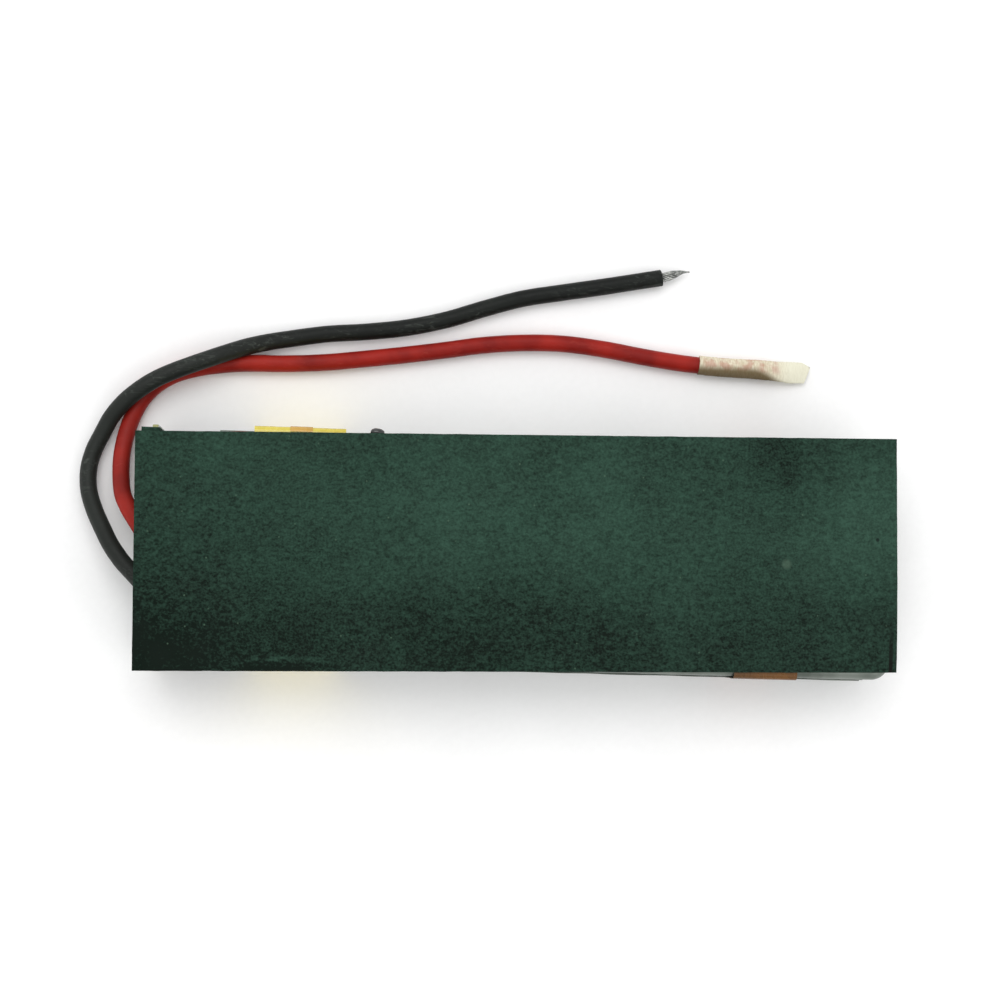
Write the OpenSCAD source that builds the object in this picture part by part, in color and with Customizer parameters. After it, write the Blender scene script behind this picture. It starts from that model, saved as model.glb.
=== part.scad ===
// Two-cell pouch battery pack: two laminate pouch cells laid back to back, a protection board
// standing at their terminal end, insulating paper on both faces, tape bands and two silicone leads.
// Millimetres. +X runs from the terminal end to the plain end, +Y towards the side the leads lie on,
// +Z up through the thickness. The origin is the centre of the pack on the surface it lies on.

/* [Insulating paper] */
// Length of the top paper, which is the pack's own length
paper_len = 131; // [120:1:150]
// Width of the top paper
paper_w = 40.5; // [38:0.5:44]
// Thickness of each insulating paper
paper_t = 0.4; // [0.2:0.1:0.8]
// Turn of the hand-laid top paper against the cells, in degrees
paper_turn = 1.4; // [0:0.1:2]

/* [Cells] */
// Width of a cell's cup, without its folded side seals
cup_w = 39.3; // [36:0.1:42]
// Thickness of one cell
cell_t = 8.2; // [6.5:0.1:9]
// Thickness of the adhesive foam between the cells
foam_t = 0.5; // [0.3:0.1:1]
// Length of the sealed terrace that the tabs come out of
terrace_len = 5.5; // [4:0.5:6]
// Height of the folded side seals
side_seal_h = 4; // [3:0.1:6.2]

/* [Tape bands] */
// Width of the yellow band
yellow_band_w = 15.5; // [10:0.5:18]
// Width of the polyimide band
amber_band_w = 11; // [6:0.5:14]

/* [Protection board] */
// Length of the board, across the pack
board_len = 40.6; // [38:0.2:42]
// Thickness of the board
board_t = 1; // [0.8:0.1:1.2]

/* [Leads] */
// Outer diameter of a lead's insulation
lead_d = 3; // [2.4:0.1:3]
// Diameter of a lead's stranded conductor
strand_d = 1.5; // [1:0.1:1.6]

/* [Hidden] */

// Foils and films
laminate_t = 0.15;
tab_t = 0.15;
tab_film_t = 0.075;
tab_gap = tab_t + 2 * tab_film_t;
band_t = 0.15;

// Heights of the layers, from the surface up
lower_z = paper_t + band_t;
foam_z = lower_z + cell_t;
upper_z = foam_z + foam_t;
stack_top = upper_z + cell_t;
top_paper_z = stack_top + band_t;
mid_z = (foam_z + upper_z) / 2;

// Places along X, counted from the two ends of the paper
plain_end_x = paper_len / 2 - 0.5;
terminal_edge_x = -paper_len / 2;
board_face_x = terminal_edge_x + 2.3;
board_back_x = board_face_x + board_t;
cradle_t = 0.3;
tab_foot_x = board_back_x + cradle_t;
terrace_x = tab_foot_x + 3.4;
cup_x = terrace_x + terrace_len;

// Cup and covers
cup_end_x = plain_end_x - 2 * laminate_t;
cup_len = cup_end_x - cup_x;
cup_corner_r = 3;
cup_edge_r = 1.5;
end_seal_h = 5;
cell_half_w = cup_w / 2 + 2 * laminate_t;
seal_corner = [3.2, 1.5];

// Electrode stack: anodes and cathodes take turns, with the separator folded between them
anode_count = 10;
film_t = 0.08;
stack_room = cell_t - 2 * laminate_t - 0.6;
layer_count = 2 * anode_count - 1;
plate_t = (stack_room - (layer_count + 1) * film_t) / layer_count;
layer_pitch = plate_t + film_t;
stack_z = laminate_t + 0.3;
stack_x = cup_x + 2;
stack_end_x = cup_end_x - 2;
anode_half_w = cup_w / 2 - 1.3;
cathode_inset = 0.6;
separator_half_w = anode_half_w + 0.3;
foil_t = 0.05;
tail_w = 7;

// Tabs, in a cell's own frame: positive on +Y, negative on -Y
tab_y = 9;
tab_w = 8;
tab_film_w = 11;
tab_inner_x = cup_x + 0.5;
tab_z = laminate_t + tab_film_t;

// Paper offset and the bottom paper
paper_shift_y = 0.4;
bottom_paper_len = paper_len - 3;
bottom_paper_w = 38.5;

// Bands
yellow_band_x = -38.2;
amber_band_x = 42.5;
yellow_tent = 0.6;

// Board and what stands on it
board_bottom = lower_z + 0.65;
board_h = stack_top - 0.65 - board_bottom;
cradle_half_len = 19.8;
transistor = [3.9, 4.9, 1.5];
chip = [1.6, 2.9, 1.1];
resistor = [0.8, 1.6, 0.45];
capacitor = [0.8, 1.6, 0.8];
shunt = [3.2, 6.3, 0.6];
pad_t = 0.1;
lead_pad = [4.6, 4.8];
black_pad_y = -12;
red_pad_y = -1.8;
terminal_h = 3.6;

// Sensor
sensor_wire_d = 0.3;
sensor_bead_d = 1.4;

// The leads keep their distance from the terminal end when the pack's length changes
lead_shift = [-65.5 - terminal_edge_x, 0, 0];
cord_sides = 8;
black_root_route = [
    [-64.05, -13.8, 9.2], [-64.05, -11.2, 9.2], [-64.1, -8.9, 9.2], [-64.45, -7.3, 9.1], [-65.1, -6.3, 9]
];
red_root_route = [[-64.05, -3.8, 9.2], [-64.05, -1.4, 9.2], [-64.3, 0.6, 9.1], [-64.95, 2.3, 9]];
black_route = [
    [-65.1, -6.3, 9], [-66.8, -4.6, 8.5], [-68.5, -2.9, 7.7], [-70.6, -0.2, 6.5], [-72.4, 2.9, 5.2],
    [-74, 6, 4], [-75.2, 9.4, 3], [-75.5, 13, 2.2], [-74.8, 16.4, 1.9], [-73.4, 19.5, 2],
    [-71.8, 22.5, 2.7], [-69.6, 25.1, 3.8], [-67, 27.3, 4.6], [-64.2, 29.2, 4.8], [-61.2, 30.7, 4.8],
    [-58.1, 32, 4.8], [-54.8, 33.3, 4.7], [-51.6, 34.6, 4], [-48.3, 35.9, 2.8], [-44.9, 36.9, 1.8],
    [-41.5, 37.6, 1.5], [-34.5, 38.8, 1.5], [-27.4, 39.5, 1.5], [-20.4, 40.5, 1.5],
    [-13.3, 42.2, 1.5], [-6.5, 44.5, 1.5], [0.4, 46.6, 1.5], [7.6, 48, 1.5], [14.7, 49.3, 1.5],
    [21.8, 50.7, 1.5], [25.4, 51.4, 1.5]
];
red_route = [
    [-64.95, 2.3, 9], [-66.4, 4.4, 8.5], [-67.8, 6.5, 7.5], [-69, 9, 6], [-69.6, 12.4, 4.2],
    [-69.7, 16.1, 2.8], [-69.2, 19.6, 1.9], [-68.2, 23, 1.5], [-66.5, 26.2, 1.5], [-64, 28.8, 1.5],
    [-61, 30.6, 1.5], [-57.6, 31.7, 1.5], [-54.1, 32.4, 1.5], [-48.9, 33, 1.5], [-41.8, 33.2, 1.5],
    [-34.7, 33.7, 1.5], [-27.6, 34.6, 1.5], [-20.5, 35.6, 1.5], [-13.5, 36.7, 1.5],
    [-6.4, 37.9, 1.5], [0.8, 38.6, 1.5], [8, 38.7, 1.5], [15.3, 38, 1.5], [22.5, 36.9, 1.5],
    [29.6, 36, 1.5], [37, 35.5, 1.5], [45, 35.3, 1.5]
];
// Each bare end carries on from the last point of its lead
black_end_route = [[25.4, 51.4, 1.5], [27.4, 51.8, 1.5], [29.2, 52.3, 1.4], [30.6, 52.8, 1.1]];
red_end_route = [[45, 35.3, 1.5], [47, 35.3, 1.3], [49.4, 35.2, 1]];
// The masking tape: centre, half width and half height of each section
tape_sections = [
    [[32.6, 35.8, 1.75], 1.75, 1.72], [[37, 35.5, 1.75], 1.75, 1.72], [[41, 35.4, 1.75], 1.75, 1.7],
    [[45, 35.3, 1.7], 1.8, 1.66], [[47, 35.3, 1.5], 1.9, 1.4], [[49.5, 35.2, 1.1], 1.8, 0.9],
    [[52.8, 35.1, 0.8], 1.5, 0.5]
];

// ---- Helpers ----

function unit(v) = v / norm(v);

// Direction of a route at point i
function heading(route, i) =
    let (last = len(route) - 1)
    unit(route[min(i + 1, last)] - route[max(i - 1, 0)]);

// One ring of a tube that lies square to its route, as wide as half_w across and half_h in height
function ring(centre, along, half_w, half_h, sides) =
    let (
        across = unit(cross([0, 0, 1], along)),
        rise = cross(along, across)
    )
    [for (k = [0:sides - 1])
        let (a = 360 * (k + 0.5) / sides)
        centre + across * half_w * cos(a) + rise * half_h * sin(a)];

// A closed tube through a list of rings with the same number of sides
module tube(rings) {
    sides = len(rings[0]);
    last = (len(rings) - 1) * sides;
    points = [for (one = rings) each one];
    walls = [
        for (i = [0:len(rings) - 2], k = [0:sides - 1])
        let (a = i * sides + k, b = i * sides + (k + 1) % sides)
        [a, a + sides, b + sides, b]
    ];
    ends = [[for (k = [0:sides - 1]) k], [for (k = [sides - 1:-1:0]) last + k]];
    polyhedron(points, concat(walls, ends), convexity = 8);
}

module cord(route, d) {
    tube([for (i = [0:len(route) - 1]) ring(route[i], heading(route, i), d / 2, d / 2, cord_sides)]);
}

// A box from its lowest to its highest corner
module span(low, high) {
    translate(low) cube(high - low);
}

// A rectangle with round corners, from its lowest to its highest corner
module round_rect(low, high, r) {
    translate([low.x + r, low.y]) square([high.x - low.x - 2 * r, high.y - low.y]);
    translate([low.x, low.y + r]) square([high.x - low.x, high.y - low.y - 2 * r]);
    for (x = [low.x + r, high.x - r], y = [low.y + r, high.y - r])
        translate([x, y]) circle(r, $fn = 32);
}

// Puts a shape on the board's outer face: its X goes up, its Z points away from the board
module on_board(y, z) {
    translate([board_face_x, y, z]) rotate([0, -90, 0]) children();
}

// ---- One pouch cell, lying on its flat cover at z = 0 ----

// A tub with round corners in plan and a round upper edge
module tub(x0, x1, half_w, low, high, corner, edge) {
    hull()
        for (x = [x0 + corner, x1 - corner], y = [-half_w + corner, half_w - corner], a = [0:30:90])
            translate([x, y, low])
                cylinder(r = corner - edge + edge * cos(a), h = high - low - edge + edge * sin(a), $fn = 32);
}

// The slots in the terrace that the tabs and their films fill
module tab_slots() {
    for (side = [-1, 1])
        span([terrace_x - 1, side * tab_y - tab_film_w / 2, laminate_t],
            [cup_x + 0.8, side * tab_y + tab_film_w / 2, laminate_t + tab_gap]);
}

// Seals folded up along both sides and the plain end, laid against a wall that stands at half_w
module folded_seals(half_w, end_x, t) {
    for (side = [-1, 1])
        span([cup_x + 1, min(side * half_w, side * (half_w + t)), 0],
            [plain_end_x - seal_corner.x - 1, max(side * half_w, side * (half_w + t)), side_seal_h]);
    span([end_x, -half_w + cup_corner_r, 0], [end_x + t, half_w - cup_corner_r, end_seal_h]);
}

module pouch_cup() {
    difference() {
        union() {
            tub(cup_x, cup_end_x, cup_w / 2, laminate_t, cell_t, cup_corner_r, cup_edge_r);
            span([terrace_x, -cup_w / 2, laminate_t], [cup_x + 3, cup_w / 2, 2 * laminate_t + tab_gap]);
            translate([0, 0, laminate_t]) folded_seals(cup_w / 2, cup_end_x, laminate_t);
        }
        tub(cup_x + laminate_t, cup_end_x - laminate_t, cup_w / 2 - laminate_t, 0,
            cell_t - laminate_t, cup_corner_r - laminate_t, cup_edge_r - laminate_t);
        tab_slots();
    }
}

module pouch_cover() {
    half_w = cell_half_w;
    linear_extrude(laminate_t) polygon([
        [terrace_x, -cup_w / 2], [cup_x, -cup_w / 2], [cup_x + 1, -half_w],
        [plain_end_x - seal_corner.x, -half_w], [plain_end_x, -half_w + seal_corner.y],
        [plain_end_x, half_w - seal_corner.y], [plain_end_x - seal_corner.x, half_w],
        [cup_x + 1, half_w], [cup_x, cup_w / 2], [terrace_x, cup_w / 2]
    ]);
    folded_seals(cup_w / 2 + laminate_t, cup_end_x + laminate_t, laminate_t);
}

// Every second layer from first on, each with its foil tail on the side given
module plates(first, half_w, x1, side) {
    for (i = [first:2:layer_count - 1]) {
        z = stack_z + film_t + i * layer_pitch;
        span([stack_x, -half_w, z], [x1, half_w, z + plate_t]);
        span([tab_inner_x + tab_t, side * tab_y - tail_w / 2, z + plate_t / 2 - foil_t / 2],
            [stack_x, side * tab_y + tail_w / 2, z + plate_t / 2 + foil_t / 2]);
    }
}

// One film folded to and fro between the plates
module separator() {
    for (i = [0:layer_count]) {
        z = stack_z + i * layer_pitch;
        side = i % 2 == 0 ? 1 : -1;
        span([stack_x, -separator_half_w, z], [stack_end_x, separator_half_w, z + film_t]);
        if (i < layer_count)
            span([stack_x, side > 0 ? separator_half_w - film_t : -separator_half_w, z],
                [stack_end_x, side > 0 ? separator_half_w : film_t - separator_half_w,
                z + layer_pitch + film_t]);
    }
}

// Short tapes round the long edges that hold the electrode stack together
module stack_tape() {
    height = (layer_count + 1) * layer_pitch - plate_t;
    for (x = [stack_x + 18, stack_end_x - 28], side = [-1, 1])
        difference() {
            span([x, side > 0 ? separator_half_w - 6 : -separator_half_w - film_t, stack_z - film_t],
                [x + 10, side > 0 ? separator_half_w + film_t : 6 - separator_half_w,
                stack_z + height + film_t]);
            span([x - 1, -separator_half_w, stack_z], [x + 11, separator_half_w, stack_z + height]);
        }
}

// A tab: a foot inside that the foil tails are welded to, the strip through the seal, and a foot
// outside that is folded flat against the board. foot_h is positive where it turns away from the cover
module tab(side, reach_x, foot_h) {
    y0 = side * tab_y - tab_w / 2;
    y1 = side * tab_y + tab_w / 2;
    span([reach_x, y0, tab_z], [tab_inner_x + tab_t, y1, tab_z + tab_t]);
    span([tab_inner_x, y0, tab_z], [tab_inner_x + tab_t, y1, cell_t - 0.6]);
    span([reach_x, y0, min(tab_z, tab_z + tab_t + foot_h)],
        [reach_x + tab_t, y1, max(tab_z + tab_t, tab_z + foot_h)]);
}

module tab_film() {
    for (side = [-1, 1])
        difference() {
            span([terrace_x - 1, side * tab_y - tab_film_w / 2, laminate_t],
                [cup_x + laminate_t, side * tab_y + tab_film_w / 2, laminate_t + tab_gap]);
            span([terrace_x - 2, side * tab_y - tab_w / 2, tab_z],
                [cup_x + 1, side * tab_y + tab_w / 2, tab_z + tab_t]);
        }
}

// The upper cell lies on its cover, the lower one hangs from it, so both terraces meet in the middle
module upper() {
    translate([0, 0, upper_z]) children();
}

module lower() {
    translate([0, 0, foam_z]) rotate([180, 0, 0]) children();
}

module upper_cup() { color("silver") upper() pouch_cup(); }
module upper_cover() { color("lightgray") upper() pouch_cover(); }
module upper_cathodes() { color("dimgray") upper() plates(1, anode_half_w - cathode_inset, stack_end_x - 0.8, 1); }
module upper_anodes() { color("saddlebrown") upper() plates(0, anode_half_w, stack_end_x - 0.3, -1); }
module upper_separator() { color("white") upper() separator(); }
module upper_stack_tape() { color("seagreen") upper() stack_tape(); }
module upper_positive_tab() { color("gainsboro") upper() tab(1, tab_foot_x, -4.4); }
module upper_negative_tab() { color("darkgray") upper() tab(-1, tab_foot_x, 4); }
module upper_tab_film() { color("ivory") upper() tab_film(); }

module lower_cup() { color("silver") lower() pouch_cup(); }
module lower_cover() { color("lightgray") lower() pouch_cover(); }
module lower_cathodes() { color("dimgray") lower() plates(1, anode_half_w - cathode_inset, stack_end_x - 0.8, 1); }
module lower_anodes() { color("saddlebrown") lower() plates(0, anode_half_w, stack_end_x - 0.3, -1); }
module lower_separator() { color("white") lower() separator(); }
module lower_stack_tape() { color("seagreen") lower() stack_tape(); }
module lower_positive_tab() { color("gainsboro") lower() tab(1, tab_foot_x, 4); }
module lower_negative_tab() { color("darkgray") lower() tab(-1, tab_foot_x + tab_t, 3.3); }
module lower_tab_film() { color("ivory") lower() tab_film(); }

// ---- Between and around the cells ----

module cell_foam_tape() {
    color("whitesmoke") span([cup_x + 3, -18, foam_z], [plain_end_x - 4, 18, upper_z]);
}

// A strip that keeps the two unlike tabs on the -Y side apart
module tab_insulator() {
    color("darkgreen")
        span([tab_foot_x + 2 * tab_t, -tab_y - 6, mid_z - 0.15], [cup_x + 1, -tab_y + 6, mid_z + 0.15]);
}

module top_paper() {
    color("darkslategray")
        translate([0, paper_shift_y, top_paper_z])
            rotate([0, 0, paper_turn])
                translate([-paper_len / 2, -paper_w / 2, 0]) cube([paper_len, paper_w, paper_t]);
}

module bottom_paper() {
    color("darkslategray")
        translate([-bottom_paper_len / 2, -bottom_paper_w / 2, 0])
            cube([bottom_paper_len, bottom_paper_w, paper_t]);
}

// Outline of a band's inside, moved out by grow. tent is how far its +Y side stands off the cells
module band_outline(tent, grow) {
    round_rect([-cell_half_w - grow, lower_z - grow], [cell_half_w + tent + grow, stack_top + grow],
        0.9 + grow);
}

// A band of tape round the stack
module band(x, w, tent) {
    translate([x - w / 2, 0, 0]) rotate([90, 0, 90]) linear_extrude(w)
        difference() {
            band_outline(tent, band_t);
            band_outline(tent, 0);
        }
}

module yellow_band() { color("khaki") band(yellow_band_x, yellow_band_w, yellow_tent); }
module amber_band() { color("darkgoldenrod") band(amber_band_x, amber_band_w, 0); }

// ---- Temperature sensor on the upper cell's edge ----

// Place of a thin wire that rests on the cup's round upper edge, at the angle given
function edge_place(x, angle, d) =
    [x, cup_w / 2 - cup_edge_r + (cup_edge_r + d / 2) * cos(angle),
    stack_top - cup_edge_r + (cup_edge_r + d / 2) * sin(angle)];

// Both wires come off the board's back, rise beside the terrace and run along the edge to the bead
function sensor_route(angle, start_y) = [
    [board_back_x + 0.01, start_y, mid_z + 5.6],
    [board_back_x + 2, start_y, mid_z + 5.9],
    [terrace_x + 2, start_y + 0.3, mid_z + 6.9],
    edge_place(cup_x + 4, angle, sensor_wire_d + 0.1),
    edge_place(yellow_band_x - 7, angle, sensor_wire_d + 0.1),
    edge_place(yellow_band_x + 8, angle, sensor_wire_d + 0.1),
    edge_place(-27, (angle + 50) / 2 - 12, sensor_wire_d + 0.4)
];

module sensor_wires() {
    color("firebrick") {
        cord(sensor_route(60, 17.6), sensor_wire_d);
        cord(sensor_route(42, 18.4), sensor_wire_d);
    }
}

module sensor_bead() {
    seat = edge_place(-25.1, 22, sensor_bead_d + 0.1);
    r = sensor_bead_d / 2;
    color("black") translate(seat) rotate([0, 90, 0]) rotate_extrude($fn = 32)
        intersection() {
            translate([0, -2]) square([r, 4]);
            union() {
                translate([0, -0.5]) circle(r, $fn = 32);
                translate([0, 0.5]) circle(r, $fn = 32);
                translate([0, -0.5]) square([r, 1]);
            }
        }
}

// A small tape on the yellow band's side that ends on its upper edge, beside the paper
module sensor_patch() {
    color("orange") translate([yellow_band_x - 1.7, 0, 0]) rotate([90, 0, 90]) linear_extrude(3.8)
        difference() {
            intersection() {
                band_outline(yellow_tent, band_t + 0.1);
                translate([cell_half_w - 0.1, 9]) square([2, 10]);
            }
            band_outline(yellow_tent, band_t);
        }
}

// ---- Protection board ----

module board() {
    color("darkgreen") span([board_face_x, -board_len / 2, board_bottom],
        [board_back_x, board_len / 2, board_bottom + board_h]);
}

// Where the folded tabs meet the board: y and the middle height of each terminal
terminals = [[-tab_y, upper_z + 2.4], [-tab_y, foam_z - 2.4], [tab_y, foam_z - 1.6]];

module terminal_blocks(grow) {
    for (t = terminals)
        span([board_back_x - grow, t.x - tab_w / 2 - grow, t.y - terminal_h / 2 - grow],
            [board_back_x + cradle_t + grow, t.x + tab_w / 2 + grow, t.y + terminal_h / 2 + grow]);
}

module board_terminals() { color("lightsteelblue") terminal_blocks(0); }

// Folded paper that holds the board's back and both long edges
module board_cradle() {
    low_z = board_bottom - cradle_t;
    high_z = board_bottom + board_h + cradle_t;
    color("darkslategray") difference() {
        span([terminal_edge_x + 0.5, -cradle_half_len, low_z],
            [board_back_x + cradle_t, cradle_half_len, high_z]);
        span([terminal_edge_x - 1, -cradle_half_len - 1, board_bottom],
            [board_back_x, cradle_half_len + 1, board_bottom + board_h]);
        terminal_blocks(0.1);
        span([board_back_x - 1, 16.8, mid_z + 5.2], [board_back_x + 1, 19, mid_z + 6.2]);
    }
}

// Copper pads for the two leads
module lead_pads() {
    color("peru")
        for (y = [black_pad_y, red_pad_y])
            on_board(y, 9.2) translate([-lead_pad.x / 2, -lead_pad.y / 2, 0])
                cube([lead_pad.x, lead_pad.y, pad_t]);
}

// A moulded body raised off the board by its legs
module chip_body(size) {
    translate([-size.x / 2, -size.y / 2, 0.1]) cube([size.x, size.y, size.z - 0.1]);
}

// Gull-wing legs on both sides of a body
module legs(size, per_side, pitch, foot) {
    for (side = [-1, 1], i = [0:per_side - 1]) {
        y = (i - (per_side - 1) / 2) * pitch;
        x = side * (size.x / 2 + foot / 2);
        translate([x - foot / 2, y - 0.2, 0]) cube([foot, 0.4, 0.2]);
        translate([side * (size.x / 2 + 0.1) - 0.1, y - 0.2, 0.2]) cube([0.2, 0.4, size.z / 2 - 0.2]);
    }
}

transistor_places = [for (y = [8.2, 14.8], dz = [-3.9, 3.9]) [y, mid_z + dz]];
chip_places = [for (dz = [-3.6, 3.6]) [-17.6, mid_z + dz]];

module switching_transistors() {
    color("black") for (p = transistor_places) on_board(p.x, p.y) chip_body(transistor);
}

module protection_chips() {
    color("black") for (p = chip_places) on_board(p.x, p.y) chip_body(chip);
}

module chip_legs() {
    color("silver") {
        for (p = transistor_places) on_board(p.x, p.y) legs(transistor, 4, 1.27, 0.9);
        for (p = chip_places) on_board(p.x, p.y) legs(chip, 3, 0.95, 0.6);
    }
}

// A row of small chip parts along the board
module chip_row(size, first_y, pitch, count, z) {
    for (i = [0:count - 1])
        on_board(first_y + i * pitch, z) translate([-size.x / 2, -size.y / 2, 0]) cube(size);
}

module chip_resistors() {
    color("dimgray") {
        chip_row(resistor, -13.5, 2.3, 6, mid_z + 6);
        chip_row(resistor, -1.2, 2.3, 3, mid_z - 6);
    }
}

module chip_capacitors() {
    color("tan") {
        chip_row(capacitor, 1.2, 2.3, 2, mid_z + 6);
        chip_row(capacitor, -7.2, 2.2, 2, mid_z + 3.6);
    }
}

module shunt_resistor() {
    color("darkslateblue") on_board(-9.6, mid_z - 5.4)
        translate([-shunt.x / 2, -shunt.y / 2, 0]) cube(shunt);
}

// ---- Leads ----

module lead_strands() {
    color("silver") translate(lead_shift) {
        cord(black_root_route, strand_d);
        cord(red_root_route, strand_d);
    }
}

// A low mound of solder over each strand
module lead_solder() {
    color("lightgray") difference() {
        for (y = [black_pad_y - 0.4, red_pad_y - 0.4])
            intersection() {
                translate([board_face_x - pad_t, y, 9.2]) scale([1.9, 2.3, 1.9]) sphere(1, $fn = 24);
                span([board_face_x - 5, y - 3, 5], [board_face_x - pad_t, y + 3, 13]);
            }
        translate(lead_shift) {
            cord(black_root_route, strand_d);
            cord(red_root_route, strand_d);
        }
    }
}

module black_lead() { color("black") translate(lead_shift) cord(black_route, lead_d); }
module red_lead() { color("red") translate(lead_shift) cord(red_route, lead_d); }

// Tinned strands drawn to a point
module black_bare_end() {
    radii = [0.75, 0.8, 0.65, 0.3];
    route = black_end_route;
    color("silver") translate(lead_shift)
        tube([for (i = [0:3]) ring(route[i], heading(route, i), radii[i], radii[i], cord_sides)]);
}

module red_bare_end_shape() {
    radii = [0.75, 0.75, 0.45];
    route = red_end_route;
    tube([for (i = [0:2]) ring(route[i], heading(route, i), radii[i], radii[i], cord_sides)]);
}

module red_bare_end() { color("silver") translate(lead_shift) red_bare_end_shape(); }

// Crepe tape wound round the end of the red lead and pressed flat past it
module masking_tape() {
    route = [for (s = tape_sections) s[0]];
    color("wheat") translate(lead_shift) difference() {
        tube([for (i = [0:len(route) - 1])
            ring(route[i], heading(route, i), tape_sections[i][1], tape_sections[i][2], 12)]);
        cord(red_route, lead_d);
        red_bare_end_shape();
    }
}

lower_cup();
lower_cover();
lower_cathodes();
lower_anodes();
lower_separator();
lower_stack_tape();
lower_positive_tab();
lower_negative_tab();
lower_tab_film();
upper_cup();
upper_cover();
upper_cathodes();
upper_anodes();
upper_separator();
upper_stack_tape();
upper_positive_tab();
upper_negative_tab();
upper_tab_film();
cell_foam_tape();
tab_insulator();
top_paper();
bottom_paper();
yellow_band();
amber_band();
sensor_patch();
sensor_bead();
sensor_wires();
board();
board_cradle();
board_terminals();
lead_pads();
switching_transistors();
protection_chips();
chip_legs();
chip_resistors();
chip_capacitors();
shunt_resistor();
lead_strands();
lead_solder();
black_lead();
red_lead();
black_bare_end();
red_bare_end();
masking_tape();
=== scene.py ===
"""Looks of the two-cell pouch battery pack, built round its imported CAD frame.

Shapes are worked out in millimetres and turned into metres when a piece is made. The frame is
the CAD's: +X from the terminal end to the plain end, +Y towards the leads, +Z out of the top paper.
"""
import math

import bmesh
import bpy
from mathutils import Matrix, Vector, noise


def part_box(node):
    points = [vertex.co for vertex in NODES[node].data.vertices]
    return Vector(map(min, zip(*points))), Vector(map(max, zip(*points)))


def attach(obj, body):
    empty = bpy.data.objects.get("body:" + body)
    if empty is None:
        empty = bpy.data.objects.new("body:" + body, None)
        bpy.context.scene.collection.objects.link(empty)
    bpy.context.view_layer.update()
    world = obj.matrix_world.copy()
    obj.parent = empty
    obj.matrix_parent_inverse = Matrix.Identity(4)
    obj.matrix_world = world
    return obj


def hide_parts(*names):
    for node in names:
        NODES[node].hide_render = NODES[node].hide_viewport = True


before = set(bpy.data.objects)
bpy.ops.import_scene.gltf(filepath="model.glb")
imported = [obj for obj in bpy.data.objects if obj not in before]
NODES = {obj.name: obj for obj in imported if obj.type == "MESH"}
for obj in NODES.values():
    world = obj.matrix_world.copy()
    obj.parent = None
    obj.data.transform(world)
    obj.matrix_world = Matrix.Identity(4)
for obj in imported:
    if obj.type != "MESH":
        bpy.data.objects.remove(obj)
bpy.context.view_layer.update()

MM = 0.001
AXIS_X, AXIS_Y, AXIS_Z = Vector((1, 0, 0)), Vector((0, 1, 0)), Vector((0, 0, 1))


def box(node):
    """Lowest and highest corner of a CAD node, in millimetres."""
    low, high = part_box(node)
    return low / MM, high / MM


# ---- Camera, floor and light ----

camera_data = bpy.data.cameras.new("camera")
camera = bpy.data.objects.new("camera", camera_data)
camera.location = (-0.02875, -0.00819, 0.35826)
camera.rotation_euler = (0.0491, -0.0745, 0.0297)
camera_data.lens = 72
camera_data.sensor_width = 36
camera_data.clip_start = 0.01
camera_data.clip_end = 50
bpy.context.scene.collection.objects.link(camera)
bpy.context.scene.camera = camera
bpy.context.scene.view_settings.view_transform = "Standard"

LIGHTS = (
    # name, place, size, power in watts
    ("key", (-0.1, 0.4, 0.8), 0.6, 2.2),
    ("fill", (0.5, -0.4, 0.7), 0.8, 0.8),
)


def add_light(name, place, size, power):
    data = bpy.data.lights.new(name, "AREA")
    data.shape = "DISK"
    data.size = size
    data.energy = power
    lamp = bpy.data.objects.new(name, data)
    lamp.location = place
    lamp.rotation_euler = (-Vector(place)).to_track_quat("-Z", "Y").to_euler()
    bpy.context.scene.collection.objects.link(lamp)


for light in LIGHTS:
    add_light(*light)

SKY_STRENGTH = 0.93
world = bpy.data.worlds.new("world")
bpy.context.scene.world = world
world.use_nodes = True
world.node_tree.nodes["Background"].inputs["Color"].default_value = (1, 1, 1, 1)
world.node_tree.nodes["Background"].inputs["Strength"].default_value = SKY_STRENGTH


# ---- Looks ----


def rgb(red, green, blue):
    """A screen colour, each part from 0 to 255, as the linear colour that a shader takes."""
    def linear(part):
        part /= 255
        return part / 12.92 if part <= 0.04045 else ((part + 0.055) / 1.055) ** 2.4
    return (linear(red), linear(green), linear(blue), 1.0)


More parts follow.
